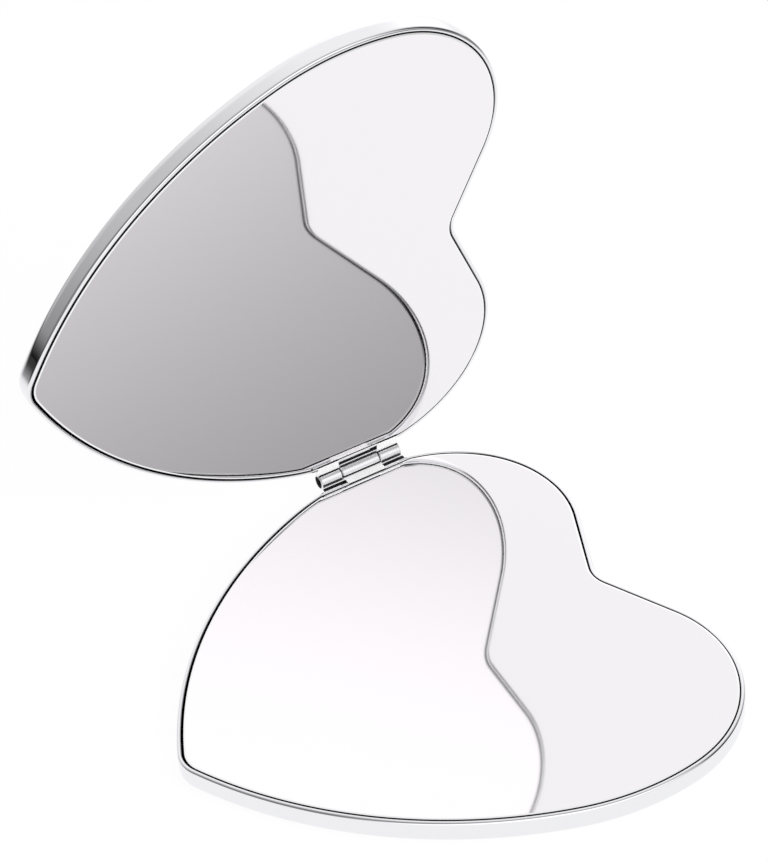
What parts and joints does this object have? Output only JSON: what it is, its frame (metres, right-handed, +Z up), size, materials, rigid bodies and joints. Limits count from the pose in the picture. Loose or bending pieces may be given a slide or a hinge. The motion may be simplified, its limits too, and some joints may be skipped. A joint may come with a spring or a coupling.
{
  "type": "compact mirror",
  "caption": "Heart-shaped folding pocket mirror: polished metal shells on a side hinge, each holding a flat glass mirror, shown part open.",
  "frame": {"origin": "middle of the base's flat underside, on the heart's axis, half way between its point and its lobes", "axes": "+X from the heart's point to its notch, +Y towards the hinge, +Z up from the underside to the base's mirror"},
  "size_m": [0.0602, 0.0699, 0.0697],
  "materials": {
    "shell_chrome": "polished chrome plate",
    "hinge_chrome": "polished chrome plate",
    "pin_steel": "plain steel wire, cut ends",
    "mirror_glass": "silvered float glass with ground edges",
    "adhesive": "double-sided adhesive sheet",
    "grey_board": "grey pasteboard",
    "magnet_nickel": "nickel-plated disc magnet"
  },
  "bodies": {
    "base": {"base_shell": "shell_chrome", "base_hinge_knuckle": "hinge_chrome", "base_mirror": "mirror_glass", "base_board_tape": "adhesive", "base_mirror_tape": "adhesive", "base_backing_board": "grey_board", "base_magnet_tip": "magnet_nickel", "base_magnet_lobe": "magnet_nickel"},
    "lid": {"lid_shell": "shell_chrome", "lid_hinge_knuckle_tip": "hinge_chrome", "lid_hinge_knuckle_lobe": "hinge_chrome", "hinge_pin": "pin_steel", "lid_mirror": "mirror_glass", "lid_board_tape": "adhesive", "lid_mirror_tape": "adhesive", "lid_backing_board": "grey_board", "lid_magnet_tip": "magnet_nickel", "lid_magnet_lobe": "magnet_nickel"}
  },
  "joints": [
    {"name": "lid_hinge", "type": "hinge", "parent": "base", "child": "lid", "pos_m": [0.01195, 0.0341, 0.0033], "axis": [-1, 0, 0], "range_deg": [-79.6, 100.4]}
  ]
}
